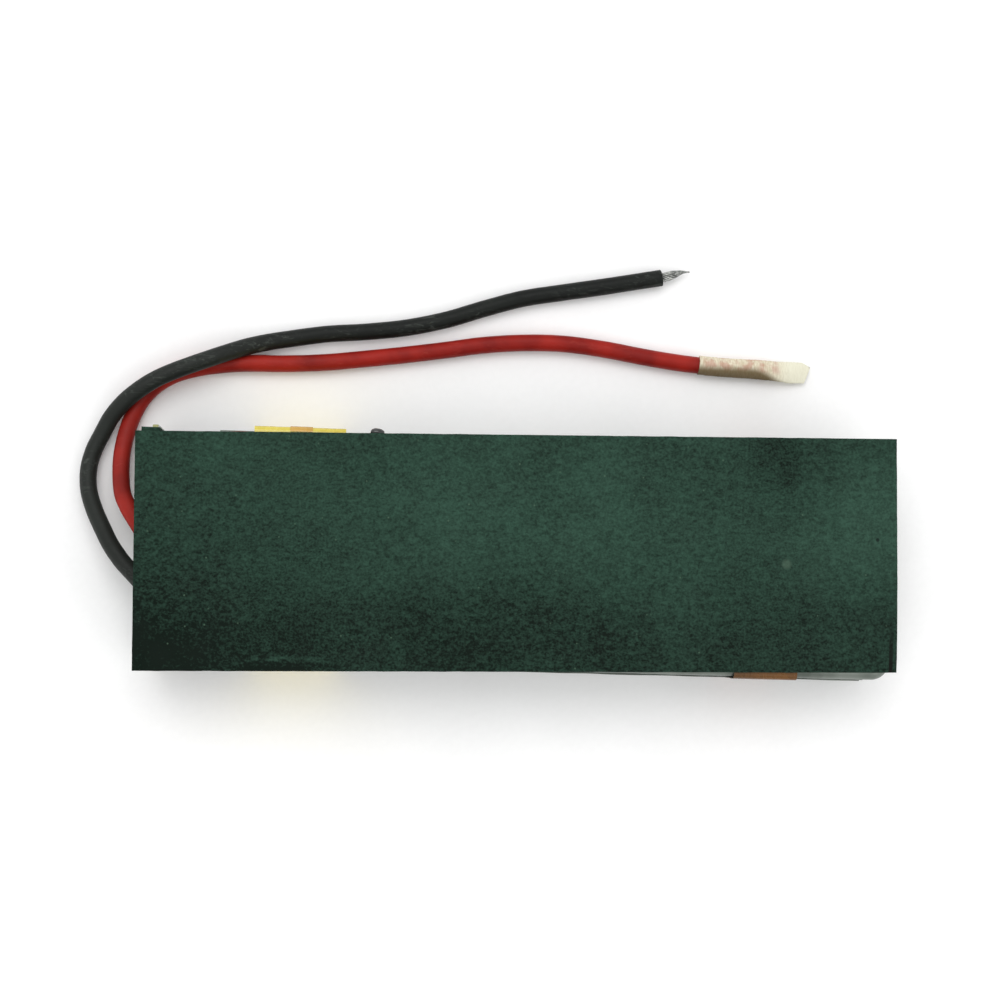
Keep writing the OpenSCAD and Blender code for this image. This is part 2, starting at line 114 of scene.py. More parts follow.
class Look:
    """One procedural material. Each step gives back the socket that the next one takes."""

    def __init__(self, name, **fixed):
        self.material = bpy.data.materials.new(name)
        self.material.use_nodes = True
        self.tree = self.material.node_tree
        self.shader = self.tree.nodes["Principled BSDF"]
        for key, value in fixed.items():
            self.shader.inputs[key.replace("_", " ")].default_value = value
        place = self.tree.nodes.new("ShaderNodeTexCoord").outputs["Object"]
        self.mm = self.vector("SCALE", place, scale=1 / MM)
        apart = self.step("SeparateXYZ", {"Vector": self.mm})
        self.x, self.y, self.z = apart.outputs

    def step(self, kind, inputs, **settings):
        node = self.tree.nodes.new("ShaderNode" + kind)
        for key, value in settings.items():
            setattr(node, key, value)
        for key, value in inputs.items():
            if isinstance(value, bpy.types.NodeSocket):
                self.tree.links.new(value, node.inputs[key])
            else:
                node.inputs[key].default_value = value
        return node

    def vector(self, operation, a, b=None, scale=None):
        inputs = {0: a}
        if b is not None:
            inputs[1] = b
        if scale is not None:
            inputs["Scale"] = scale
        return self.step("VectorMath", inputs, operation=operation).outputs[0]

    def maths(self, operation, a, b):
        return self.step("Math", {0: a, 1: b, 2: 0.0}, operation=operation).outputs[0]

    def times(self, a, b):
        return self.maths("MULTIPLY", a, b)

    def plus(self, a, b):
        return self.maths("ADD", a, b)

    def minus(self, a, b):
        return self.maths("SUBTRACT", a, b)

    def noise(self, size, detail=2.0, stretch=(1, 1, 1), rough=0.5, bend=0.0):
        """Cloudy noise whose lumps are about size millimetres, longer where stretch is more than 1."""
        place = self.vector("MULTIPLY", self.mm, tuple(1 / (size * s) for s in stretch))
        return self.step("TexNoise", {"Vector": place, "Scale": 1.0, "Detail": detail,
                                      "Roughness": rough, "Distortion": bend}).outputs[0]

    def cells(self, size):
        """Distance to the nearest of many points, which lie about size millimetres apart."""
        place = self.vector("MULTIPLY", self.mm, (1 / size, 1 / size, 1 / size))
        return self.step("TexVoronoi", {"Vector": place, "Scale": 1.0}).outputs["Distance"]

    def fade(self, value, start, end, low=0.0, high=1.0):
        """low where value is under start, high where it is over end, and smooth in between."""
        return self.step("MapRange", {"Value": value, "From Min": start, "From Max": end,
                                      "To Min": low, "To Max": high},
                         interpolation_type="SMOOTHSTEP").outputs["Result"]

    def patch(self, x, y, soft):
        """1 inside a range of x and a range of y, and fading to 0 over soft millimetres outside."""
        sides = [self.fade(self.x, x[0] - soft, x[0]), self.fade(self.x, x[1], x[1] + soft, 1, 0),
                 self.fade(self.y, y[0] - soft, y[0]), self.fade(self.y, y[1], y[1] + soft, 1, 0)]
        made = sides[0]
        for side in sides[1:]:
            made = self.times(made, side)
        return made

    def distance(self, x, y):
        """Distance in plan from an upright line at x, y."""
        flat = self.step("CombineXYZ", {"X": self.x, "Y": self.y}).outputs[0]
        return self.step("VectorMath", {0: flat, 1: (x, y, 0)}, operation="DISTANCE").outputs["Value"]

    def blend(self, factor, a, b):
        """Colour a where factor is 0, and colour b where it is 1."""
        return self.step("Mix", {0: factor, 6: a, 7: b}, data_type="RGBA").outputs[2]

    def finish(self, colour=None, rough=None, height=None, depth=0.02, metal=None):
        """Wires the last steps to the shader. depth is the relief's height in millimetres."""
        for name, value in (("Base Color", colour), ("Roughness", rough), ("Metallic", metal)):
            if value is not None:
                self.tree.links.new(value, self.shader.inputs[name])
        if height is not None:
            bump = self.step("Bump", {"Height": height, "Distance": depth * MM, "Strength": 1.0})
            self.tree.links.new(bump.outputs["Normal"], self.shader.inputs["Normal"])
        return self.material


# Where the bands lie under the papers, and the top paper's size and place
YELLOW_X = (box("yellow_band")[0].x, box("yellow_band")[1].x)
AMBER_X = (box("amber_band")[0].x, box("amber_band")[1].x)
PAPER_LEN, PAPER_WIDTH = 131.0, 40.5
PAPER_TURN = math.radians(1.4)
PAPER_SHIFT_Y = 0.4


def paper_look():
    """Dyed green fish paper: felted fibres, pale specks, dark stains and the marks over the bands, with
    painted shade across the sheet, by the amber band and along the plain end's crease.
    """
    look = Look("fish_paper", Specular_IOR_Level=0.1)
    fibre = look.noise(0.75, 5, (1.7, 1, 1), 0.62, 0.7)
    grain = look.noise(0.4, 2, (1, 1, 1), 0.6)
    cloud = look.noise(5, 3)
    stain = look.noise(24, 2, (1.3, 1, 1))
    # painted shade for the light's fall-off over the sheet: palest just above the middle, darker along both
    # long edges, and darkest at the terminal end's corner
    tone = look.minus(look.fade(look.y, -20, 8, 0.2, 0.64), look.fade(look.y, 6, 21, 0.0, 0.1))
    corner_shade_and_patches = look.times(look.fade(look.x, -67, -25, 0.26, 0.0), look.fade(look.y, 0, 18, 1.0, 0.3))
    # three faint patches along the upper edge: a paler one, then two darker ones
    for x, share in (((-21, -13), 0.08), ((3, 9), -0.08), ((47, 53), -0.08)):
        corner_shade_and_patches = look.minus(corner_shade_and_patches, look.times(look.patch(x, (8, 30), 5), share))
    tone = look.minus(tone, corner_shade_and_patches)
    for part, share in ((stain, 0.12), (cloud, 0.07), (fibre, 0.19), (grain, 0.2)):
        tone = look.plus(tone, look.fade(part, 0.28, 0.72, -share, share))
    # over the bands: a dark stripe by the amber band, which is painted shade where the paper over the
    # band's edge is lit differently, and a pale rub along the yellow one
    dark = look.patch((41.2, 46.2), (14, 30), 3)
    tone = look.minus(tone, look.times(dark, 0.14))
    rub = look.times(look.patch((-45, -33), (-18.9, -18.6), 0.6),
                     look.fade(look.noise(0.9, 3, (2.5, 1, 1)), 0.38, 0.6))
    tone = look.plus(tone, look.times(rub, 0.34))
    under = look.patch((-46, -30), (-21, -19.6), 0.5)
    tone = look.minus(tone, look.times(under, 0.14))
    colour = look.blend(tone, rgb(12, 23, 17), rgb(50, 78, 65))
    speck = look.fade(look.cells(1.7), 0.05, 0.13, 1.0, 0.0)
    speck = look.times(speck, look.fade(look.noise(2.3, 1), 0.55, 0.62, 0, 0.5))
    colour = look.blend(speck, colour, rgb(80, 104, 86))
    # two small marks, and a painted shadow along the crease by the plain end's edge, where the paper bends
    # down
    dots = (((46, -0.1), 1.1, rgb(84, 106, 90), 0.38), ((61.9, 4.6), 0.45, rgb(16, 22, 20), 0.8))
    for (x, y), size, paint, share in dots:
        colour = look.blend(look.fade(look.distance(x, y), size * 0.4, size, share, 0.0), colour, paint)
    crease = look.times(look.patch((64.45, 64.9), (-30, -8), 0.25), look.fade(look.y, -18, -6, 0.9, 0.0))
    colour = look.blend(crease, colour, rgb(18, 16, 14))
    height = look.plus(fibre, look.times(grain, 0.6))
    rough = look.fade(cloud, 0.2, 0.8, 0.75, 0.92)
    return look.finish(colour, rough, height, 0.06)


def foil_look(name, pattern):
    """Pouch laminate: satin nylon over aluminium, with fine creases. pattern adds the heat seal's bars."""
    look = Look(name, Coat_Weight=0.1, Coat_Roughness=0.4)
    crumple = look.noise(2.6, 4, (1, 1, 1.5), 0.6, 0.8)
    smear = look.noise(9, 3)
    grain = look.noise(0.12, 1)
    # the greys are darker than the bare laminate: painted shade, standing in for the shade on the pouch's
    # sides
    colour = look.blend(look.fade(smear, 0.3, 0.7), rgb(84, 91, 84), rgb(124, 131, 124))
    colour = look.blend(look.fade(crumple, 0.55, 0.8, 0, 0.35), colour, rgb(56, 61, 56))
    height = look.plus(crumple, look.times(grain, 0.08))
    if pattern:
        bars = [look.maths("PINGPONG", axis, 0.35) for axis in (look.x, look.z, look.y)]
        mesh = look.maths("MAXIMUM", bars[0], look.maths("MAXIMUM", bars[1], bars[2]))
        height = look.plus(height, look.times(mesh, 0.5))
    rough = look.fade(crumple, 0.2, 0.8, 0.3, 0.46)
    return look.finish(colour, rough, height, 0.14, look.fade(smear, 0.2, 0.8, 0.75, 0.9))


def tape_look(name, deep, pale, edge, coat, shine):
    """Polyester or polyimide tape: a clear glossy film over adhesive that wets the surface unevenly."""
    look = Look(name, Coat_Weight=coat, Coat_Roughness=0.1, Specular_IOR_Level=shine)
    cloud = look.noise(6, 2)
    wet = look.noise(1.6, 3, (1, 1, 1), 0.55, 1.2)
    pull = look.noise(3.0, 2, (1, 6, 6))
    bubble = look.fade(look.cells(1.3), 0.1, 0.18, 1.0, 0.0)
    bubble = look.times(bubble, look.fade(look.noise(3), 0.55, 0.66, 0, 0.45))
    tone = look.plus(look.fade(wet, 0.42, 0.6, 0, 0.35), look.fade(cloud, 0.3, 0.7, 0, 0.65))
    colour = look.blend(tone, deep, pale)
    colour = look.blend(bubble, colour, edge)
    rough = look.fade(wet, 0.3, 0.7, 0.2, 0.32)
    height = look.plus(pull, look.times(bubble, 0.3))
    return look.finish(colour, rough, height, 0.04)


def silicone_look(name, dark, pale, dust_and_sheen_colour, dust_and_sheen_share):
    """Soft silicone insulation with handling marks, a film of talcum and a painted sheen that grows towards
    the terminal end.
    """
    look = Look(name, Specular_IOR_Level=0.18)
    cloud = look.noise(7, 3)
    scuff = look.noise(0.7, 4, (3, 1, 1), 0.6, 1.0)
    colour = look.blend(look.fade(cloud, 0.3, 0.7), dark, pale)
    dust_and_sheen = look.times(look.fade(scuff, 0.5, 0.75), look.fade(look.noise(11), 0.4, 0.6))
    # paler towards the terminal end along x: a painted sheen, on top of the talcum marks
    dust_and_sheen = look.plus(dust_and_sheen, look.fade(look.x, -78, -20, 0.35, 0.0))
    colour = look.blend(look.times(dust_and_sheen, dust_and_sheen_share), colour, dust_and_sheen_colour)
    rough = look.fade(scuff, 0.3, 0.7, 0.42, 0.58)
    height = look.plus(look.noise(0.18, 1), look.times(scuff, 0.8))
    return look.finish(colour, rough, height, 0.012)


def crepe_look():
    """Masking tape: cream crepe paper with reddish smudges, and painted shade on its lower side."""
    look = Look("crepe_paper", Specular_IOR_Level=0.25)
    crepe = look.noise(0.35, 3, (0.55, 3, 3), 0.6, 0.5)
    fibre = look.noise(0.2, 2)
    smudge = look.times(look.fade(look.noise(1.6, 4), 0.4, 0.62), look.patch((34, 47), (35.3, 38), 1.2))
    colour = look.blend(look.fade(crepe, 0.3, 0.7), rgb(196, 184, 156), rgb(226, 218, 196))
    colour = look.blend(look.times(smudge, 0.5), colour, rgb(176, 112, 98))
    # painted shade on the lower side, which faces down, as far as a fold that runs off at a slant
    fold = look.plus(look.y, look.times(look.fade(look.x, 42, 50), 2.6))
    under = look.times(look.fade(fold, 34.6, 36.0, 0.9, 0.0), look.fade(look.x, 49, 50.5, 1, 0))
    colour = look.blend(under, colour, rgb(104, 86, 54))
    tip = look.fade(look.x, 45, 50, 0, 0.7)
    colour = look.blend(tip, colour, rgb(232, 232, 212))
    height = look.plus(crepe, look.times(fibre, 0.3))
    return look.finish(colour, look.fade(fibre, 0.2, 0.8, 0.7, 0.85), height, 0.06)


def metal_look(name, dark, pale, rough_low, rough_high, brush=(1, 1, 1), depth=0.01):
    look = Look(name, Metallic=1.0)
    grain = look.noise(0.5, 3, brush)
    cloud = look.noise(2.5, 2)
    tone = look.plus(look.fade(grain, 0.3, 0.7, 0, 0.6), look.fade(cloud, 0.3, 0.7, 0, 0.4))
    return look.finish(look.blend(tone, dark, pale), look.fade(cloud, 0.3, 0.7, rough_low, rough_high),
                       grain, depth)


def plain_look(name, dark, pale, rough, size, depth, **fixed):
    """A moulded, coated or cast surface: a fine grain and a slow change of tone."""
    look = Look(name, **fixed)
    grain = look.noise(size * 0.3, 2)
    cloud = look.noise(size * 4, 3)
    tone = look.plus(look.fade(grain, 0.3, 0.7, 0, 0.4), look.fade(cloud, 0.3, 0.7, 0, 0.6))
    return look.finish(look.blend(tone, dark, pale), look.fade(cloud, 0.3, 0.7, rough - 0.05, rough + 0.06),
                       grain, depth)


PAPER = paper_look()
FOIL = foil_look("pouch_laminate", False)
SEAL = foil_look("sealed_laminate", True)
YELLOW = tape_look("yellow_film", rgb(198, 180, 62), rgb(214, 198, 80), rgb(232, 222, 130), 0.4, 0.4)
ORANGE = tape_look("orange_film", rgb(184, 142, 54), rgb(198, 156, 68), rgb(214, 178, 96), 0.4, 0.4)
# the amber film's own tone over foil, made darker still: painted shade for the stack's shaded sides
AMBER = tape_look("amber_film", rgb(80, 48, 1), rgb(102, 63, 3), rgb(126, 85, 12), 0.2, 0.3)
BLACK_RUBBER = silicone_look("black_silicone", rgb(9, 12, 10), rgb(18, 22, 19), rgb(100, 106, 100), 0.3)
RED_RUBBER = silicone_look("red_silicone", rgb(122, 18, 12), rgb(154, 30, 20), rgb(186, 86, 74), 0.2)
CREPE = crepe_look()
TIN = metal_look("tinned_copper", rgb(150, 152, 150), rgb(214, 215, 212), 0.16, 0.34)
STRAND = metal_look("tinned_strands", rgb(88, 90, 88), rgb(196, 198, 194), 0.12, 0.26, (1, 1, 1), 0.03)
SOLDER = metal_look("solder", rgb(140, 143, 146), rgb(206, 208, 210), 0.2, 0.38, depth=0.02)
ALUMINIUM = metal_look("aluminium_foil", rgb(170, 172, 172), rgb(216, 217, 216), 0.28, 0.42, (8, 0.4, 0.4))
NICKEL = metal_look("nickel_foil", rgb(150, 146, 138), rgb(198, 194, 184), 0.26, 0.4, (8, 0.4, 0.4))
MASK = plain_look("solder_mask", rgb(8, 60, 30), rgb(14, 84, 44), 0.28, 1.0, 0.01, Coat_Weight=0.5)
TRACE = plain_look("masked_copper", rgb(22, 92, 48), rgb(34, 116, 62), 0.28, 1.0, 0.01, Coat_Weight=0.5)
LAMINATE = plain_look("glass_laminate", rgb(128, 132, 84), rgb(168, 168, 116), 0.6, 0.2, 0.03)
MOULDED = plain_look("moulded_chip", rgb(22, 22, 24), rgb(40, 40, 42), 0.5, 0.3, 0.02)
CERAMIC = plain_look("white_ceramic", rgb(196, 194, 186), rgb(224, 222, 214), 0.5, 0.3, 0.01)
RESISTIVE = plain_look("resistor_glaze", rgb(14, 14, 16), rgb(30, 30, 34), 0.25, 0.3, 0.01)
TAN = plain_look("capacitor_ceramic", rgb(142, 104, 66), rgb(178, 138, 94), 0.42, 0.3, 0.01)
EPOXY = plain_look("black_epoxy", rgb(9, 11, 10), rgb(24, 28, 25), 0.16, 0.8, 0.02, Coat_Weight=0.6)
ENAMEL = plain_look("wire_enamel", rgb(96, 26, 10), rgb(142, 52, 20), 0.3, 0.5, 0.01)
FOAM = plain_look("foam_tape", rgb(206, 206, 200), rgb(236, 236, 230), 0.8, 0.25, 0.08)
CATHODE = plain_look("cathode_coat", rgb(22, 22, 23), rgb(42, 42, 44), 0.75, 0.2, 0.02)
ANODE = plain_look("anode_coat", rgb(40, 36, 34), rgb(66, 60, 56), 0.7, 0.2, 0.02)
SEPARATOR = plain_look("separator_film", rgb(224, 224, 220), rgb(244, 244, 240), 0.6, 0.3, 0.01)
GREEN_TAPE = plain_look("stack_tape", rgb(24, 118, 64), rgb(44, 150, 88), 0.35, 1.0, 0.01)
TAB_FILM = plain_look("tab_film", rgb(206, 196, 156), rgb(232, 224, 190), 0.4, 0.8, 0.01)
FLOOR = plain_look("floor_paper", rgb(249, 249, 249), rgb(253, 253, 253), 0.85, 4.0, 0.01,
                   Specular_IOR_Level=0.1)


# ---- Shapes ----


def smoothstep(start, end, value):
    share = min(1.0, max(0.0, (value - start) / (end - start)))
    return share * share * (3 - 2 * share)


def wave(x, y=0.0, z=0.0):
    """Smooth noise from -1 to 1."""
    return noise.noise(Vector((x, y, z)))


def spread(start, end, count):
    """count numbers from start to end, evenly apart."""
    return [start + (end - start) * i / (count - 1) for i in range(count)]


def smooth_line(points, step):
    """A smooth line through the points, as points about one step apart."""
    ends = [Vector(p) for p in points]
    ends = [2 * ends[0] - ends[1]] + ends + [2 * ends[-1] - ends[-2]]
    fine = []
    for a, b, c, d in zip(ends, ends[1:], ends[2:], ends[3:]):
        for i in range(16):
            t = i / 16
            fine.append(0.5 * (2 * b + (c - a) * t + (2 * a - 5 * b + 4 * c - d) * t * t
                               + (3 * b - a - 3 * c + d) * t ** 3))
    fine.append(ends[-2])
    lengths = [0.0]
    for a, b in zip(fine, fine[1:]):
        lengths.append(lengths[-1] + (b - a).length)
    count = max(3, round(lengths[-1] / step) + 1)
    line, at = [], 0
    for want in spread(0, lengths[-1], count):
        while at < len(fine) - 2 and lengths[at + 1] < want:
            at += 1
        share = (want - lengths[at]) / (lengths[at + 1] - lengths[at])
        line.append(fine[at].lerp(fine[at + 1], min(1.0, share)))
    return line


def frames(line):
    """Each point of a line with its direction, side and rise, which turn with the line and never twist."""
    side = None
    for i, point in enumerate(line):
        along = (line[min(i + 1, len(line) - 1)] - line[max(i - 1, 0)]).normalized()
        side = AXIS_Z.cross(along) if side is None else side - along * side.dot(along)
        side.normalize()
        yield point, along, side.copy(), along.cross(side)


def loft(rings, wrap=False):
    """A skin through rings of points. Each ring is closed, and wrap joins the last to the first."""
    count = len(rings[0])
    points = [p for ring in rings for p in ring]
    faces = []
    for i in range(len(rings) if wrap else len(rings) - 1):
        a, b = i * count, (i + 1) % len(rings) * count
        faces += [(a + k, a + (k + 1) % count, b + (k + 1) % count, b + k) for k in range(count)]
    if not wrap:
        faces += [tuple(range(count)), tuple(range(len(points) - count, len(points)))]
    return points, faces


def circle(centre, across, rise, radius, sides):
    angles = [2 * math.pi * k / sides for k in range(sides)]
    return [centre + across * (radius * math.cos(a)) + rise * (radius * math.sin(a)) for a in angles]


def strip(sections, axis, thick):
    """A sheet that is thick millimetres through, lofted along axis from open lines of points."""
    rings = []
    for line in sections:
        out, back = [], []
        for i, point in enumerate(line):
            along = line[min(i + 1, len(line) - 1)] - line[max(i - 1, 0)]
            normal = along.cross(axis).normalized() * (thick / 2)
            out.append(point + normal)
            back.append(point - normal)
        rings.append(out + back[::-1])
    return loft(rings)


def outline(low, high, radius, spacing, per_corner):
    """A rectangle with round corners: points in a plane, each with its outward direction."""
    made = []
    corners = ((high[0], low[1], -90), (high[0], high[1], 0), (low[0], high[1], 90), (low[0], low[1], 180))
    for index, (x, y, first) in enumerate(corners):
        cx = x - radius if x == high[0] else x + radius
        cy = y - radius if y == high[1] else y + radius
        for k in range(per_corner + 1):
            a = math.radians(first + 90 * k / per_corner)
            way = (math.cos(a), math.sin(a))
            made.append(((cx + radius * way[0], cy + radius * way[1]), way))
        run = (high[1] - low[1] if index % 2 == 0 else high[0] - low[0]) - 2 * radius
        (x0, y0), way = made[-1]
        next_way = (-way[1], way[0])
        steps = max(1, round(run / spacing))
        made += [((x0 + next_way[0] * run * i / steps, y0 + next_way[1] * run * i / steps), way)
                 for i in range(1, steps)]
    return made


def moulded(size, base, corner, bevel, draft=0.0):
    """A block with round corners and bevelled edges: size across, along and up, standing at base."""
    across, along, up = size
    corner = min(max(corner, draft + bevel + 0.03), across / 2 - 0.01, along / 2 - 0.01)
    middle = base + (up - base) / 2
    levels = ((base, draft + bevel / 2), (base + bevel / 2, draft), (middle, 0.0), (up - bevel, draft),
              (up, draft + bevel))
    plan = outline((-across / 2, -along / 2), (across / 2, along / 2), corner, 99, 3)
    return loft([[Vector((p[0] - way[0] * inset, p[1] - way[1] * inset, h)) for p, way in plan]
                 for h, inset in levels])


class Shape:
    """A mesh in the making, in millimetres, with a look for each face."""

    def __init__(self, *looks):
        self.looks = looks
        self.points, self.faces, self.marks = [], [], []

    def add(self, part, look=0, place=None):
        points, faces = part
        start = len(self.points)
        self.points += [place @ Vector(p) for p in points] if place else [Vector(p) for p in points]
        self.faces += [tuple(start + i for i in face) for face in faces]
        self.marks += [look] * len(faces)
        return self

    def piece(self, name, slot, *nodes, crease=38):
        """Makes the piece, which rides on the pack and stands for the CAD nodes named."""
        mesh = bpy.data.meshes.new(name)
        mesh.from_pydata([p * MM for p in self.points], [], self.faces)
        for look in self.looks:
            mesh.materials.append(look)
        for polygon, mark in zip(mesh.polygons, self.marks):
            polygon.material_index = mark
            polygon.use_smooth = True
        work = bmesh.new()
        work.from_mesh(mesh)
        bmesh.ops.recalc_face_normals(work, faces=work.faces)
        work.to_mesh(mesh)
        work.free()
        mesh.set_sharp_from_angle(angle=math.radians(crease))
        made = bpy.data.objects.new(name, mesh)
        bpy.context.scene.collection.objects.link(made)
        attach(made, "root")
        if nodes:
            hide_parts(*nodes)
        return made


# ---- Leads ----

LEAD_RADIUS = 1.5
BLACK_ROUTE = (
    (-65.1, -6.3, 9), (-66.8, -4.6, 8.5), (-68.5, -2.9, 7.7), (-70.6, -0.2, 6.5), (-72.4, 2.9, 5.2),
    (-74, 6, 4), (-75.2, 9.4, 3), (-75.5, 13, 2.2), (-74.8, 16.4, 1.9), (-73.4, 19.5, 2),
    (-71.8, 22.5, 2.7), (-69.6, 25.1, 3.8), (-67, 27.3, 4.6), (-64.2, 29.2, 4.8), (-61.2, 30.7, 4.8),
    (-58.1, 32, 4.8), (-54.8, 33.3, 4.7), (-51.6, 34.6, 4), (-48.3, 35.9, 2.8), (-44.9, 36.9, 1.8),
    (-41.5, 37.6, 1.5), (-34.5, 38.8, 1.5), (-27.4, 39.5, 1.5), (-20.4, 40.5, 1.5),
    (-13.3, 42.2, 1.5), (-6.5, 44.5, 1.5), (0.4, 46.6, 1.5), (7.6, 48, 1.5), (14.7, 49.3, 1.5),
    (21.8, 50.7, 1.5), (25.4, 51.4, 1.5),
)
RED_ROUTE = (
    (-64.95, 2.3, 9), (-66.4, 4.4, 8.5), (-67.8, 6.5, 7.5), (-69, 9, 6), (-69.6, 12.4, 4.2),
    (-69.7, 16.1, 2.8), (-69.2, 19.6, 1.9), (-68.2, 23, 1.5), (-66.5, 26.2, 1.5), (-64, 28.8, 1.5),
    (-61, 30.6, 1.5), (-57.6, 31.7, 1.5), (-54.1, 32.4, 1.5), (-48.9, 33, 1.5), (-41.8, 33.2, 1.5),
    (-34.7, 33.7, 1.5), (-27.6, 34.6, 1.5), (-20.5, 35.6, 1.5), (-13.5, 36.7, 1.5),
    (-6.4, 37.9, 1.5), (0.8, 38.6, 1.5), (8, 38.7, 1.5), (15.3, 38, 1.5), (22.5, 36.9, 1.5),
    (29.6, 36, 1.5), (37, 35.5, 1.5), (45, 35.3, 1.5),
)
BLACK_ROOT = ((-64.05, -13.8, 9.2), (-64.05, -11.2, 9.2), (-64.1, -8.9, 9.2), (-64.45, -7.3, 9.1),
              (-65.1, -6.3, 9))
RED_ROOT = ((-64.05, -3.8, 9.2), (-64.05, -1.4, 9.2), (-64.3, 0.6, 9.1), (-64.95, 2.3, 9))
BLACK_END = ((25.2, 51.35, 1.45), (26.4, 51.65, 1.45), (27.8, 52.15, 1.5), (29.2, 52.6, 1.4),
             (30.6, 52.75, 1.1))


def lead(name, route, look, slot, node):
    """Insulation with cut ends: a rounded lip, a ring-shaped face and a short way in to the strands."""
    line = smooth_line(route, 0.6)
    sides = 28
    rings = []
    for i, (point, _, side, rise) in enumerate(frames(line)):
        swell = 0.02 * wave(i * 0.07, len(name)) + 0.012 * wave(i * 0.4, 5)
        rings.append(circle(point, side, rise, LEAD_RADIUS + swell, sides))
    ends = []
    for first, inward in ((line[0], line[1] - line[0]), (line[-1], line[-2] - line[-1])):
        way = inward.normalized()
        ring = rings[0] if first is line[0] else rings[-1]
        cut = [(0.0, 1.0), (-0.05, 0.975), (-0.08, 0.93), (-0.07, 0.62), (0.0, 0.56), (0.5, 0.55)]
        ends.append([[first + way * inset + (p - first) * share for p in ring] for inset, share in cut])
    skin = ends[0][::-1] + rings[1:-1] + ends[1]
    return Shape(look).add(loft(skin)).piece(name, slot, node, crease=50), line


def strands(shape, route, radius, wire, count, lay):
    """A bundle of wires that wind round the route. radius gives the bundle's own along it, from 0 to 1."""
    line = smooth_line(route, 0.12)
    course = list(frames(line))
    for k in range(count):
        centre = k == 0
        stop = len(course) - (0 if centre else round(len(course) * 0.13 * abs(wave(k * 1.7, 3))))
        rings = []
        for i, (point, along, side, rise) in enumerate(course[:stop]):
            share = i / (len(course) - 1)
            a = 2 * math.pi * ((k - 1) / (count - 1) + i * 0.12 / lay) + 0.3 * wave(k, share * 2)
            out = 0 if centre else max(0.0, radius(share) - wire * 0.9)
            thick = radius(share) * 0.62 if centre else wire * (0.75 + 0.25 * radius(share) / radius(0))
            middle = point + side * (out * math.cos(a)) + rise * (out * math.sin(a))
            rings.append(circle(middle, side, rise, thick, 8))
        shape.add(loft(rings))


black_lead, black_line = lead("black_lead_insulation", BLACK_ROUTE, BLACK_RUBBER, "black_silicone",
                              "black_lead")
red_lead, red_line = lead("red_lead_insulation", RED_ROUTE, RED_RUBBER, "red_silicone", "red_lead")

bare = Shape(STRAND)
strands(bare, BLACK_END, lambda t: 0.68 * (1 - smoothstep(0.3, 1.0, t)) + 0.16, 0.2, 11, 7)
black_strands = bare.piece("black_lead_strands", "solder", "black_bare_end")

# The masking tape: centre, half width, half height and lean in degrees of each section
TAPE_SECTIONS = (
    ((32.6, 35.8, 1.64), 1.62, 1.62, 0), ((34.8, 35.62, 1.64), 1.63, 1.63, 0),
    ((37, 35.5, 1.64), 1.63, 1.63, 0), ((39, 35.45, 1.64), 1.64, 1.63, 0),
    ((41, 35.4, 1.64), 1.66, 1.63, 0), ((43, 35.35, 1.64), 1.68, 1.63, -4),
    ((45, 35.28, 1.62), 1.74, 1.6, -12), ((46.4, 35.22, 1.5), 1.84, 1.28, -18),
    ((47.8, 35.16, 1.3), 1.92, 0.8, -16), ((49.2, 35.12, 1.08), 1.96, 0.46, -9),
    ((50.8, 35.15, 0.9), 1.96, 0.28, -6), ((52.9, 35.2, 0.8), 1.88, 0.16, -4),
)


def masking_tape():
    """Crepe tape wound round the lead, pressed flat past its end and cut off at a slant."""
    sides = 48
    centres = smooth_line([s[0] for s in TAPE_SECTIONS], 0.22)
    rings = []
    last = len(TAPE_SECTIONS) - 1
    for i, (point, along, side, rise) in enumerate(frames(centres)):
        share = i / (len(centres) - 1)
        at = min(last - 1, int(share * last))
        part = share * last - at
        half_w, half_h, lean = (a + (b - a) * part for a, b in
                                zip(TAPE_SECTIONS[at][1:], TAPE_SECTIONS[at + 1][1:]))
        flat = 1 - half_h / half_w
        ring = []
        for k in range(sides):
            a = 2 * math.pi * k / sides
            # a flat end is a lens: two layers that meet in an edge on each side
            w = half_w * math.cos(a)
            h = half_h * math.sin(a) * (1 - 0.25 * flat * abs(math.cos(a)))
            crepe = 0.05 * wave(point.x * 2.6, k * 0.35, 1) + 0.025 * wave(point.x * 6, k * 1.1, 4)
            turn = (k / sides + share * 0.6) % 1.0
            overlap = 0.1 * smoothstep(0.0, 0.02, turn) * (1 - smoothstep(0.3, 0.98, turn))
            grow = 1 + (crepe + overlap * (1 - flat)) / max(half_w, 0.4)
            tilt = math.radians(lean)
            w, h = w * grow, h * grow + (crepe * 0.4 if flat > 0.5 else 0)
            w, h = w * math.cos(tilt) - h * math.sin(tilt), w * math.sin(tilt) + h * math.cos(tilt)
            # side points to +Y: the end runs out to a corner there, with a small chamfer beyond it
            slant = smoothstep(0.72, 1.0, share) * (0.42 * min(w, 1.0) - 1.7 * max(0.0, w - 1.0))
            ring.append(point + along * slant + side * w + rise * h)
        rings.append(ring)
    return loft(rings)


red_strands = Shape(TIN)
strands(red_strands, ((44.6, 35.3, 1.5), (45.6, 35.3, 1.48), (46.6, 35.3, 1.4), (47.8, 35.25, 1.25)),
        lambda t: 0.62 * (1 - smoothstep(0.3, 1.0, t)) + 0.1, 0.15, 9, 9)
red_strands = red_strands.piece("red_lead_strands", "solder", "red_bare_end")
tape_wrap = Shape(CREPE).add(masking_tape()).piece("lead_end_tape", "masking_tape", "masking_tape")

[c * MM for c in BLACK_ROUTE[0]]
[p * MM for p in black_line]
[c * MM for c in RED_ROUTE[0]]
[p * MM for p in red_line]


# ---- Papers ----


TOP_PAPER_Z, TOP_PAPER_T, TOP_PAPER_SEED = 17.83, 0.28, 2
BOTTOM_PAPER_Z, BOTTOM_PAPER_T, BOTTOM_PAPER_SEED = 0.36, 0.34, 9


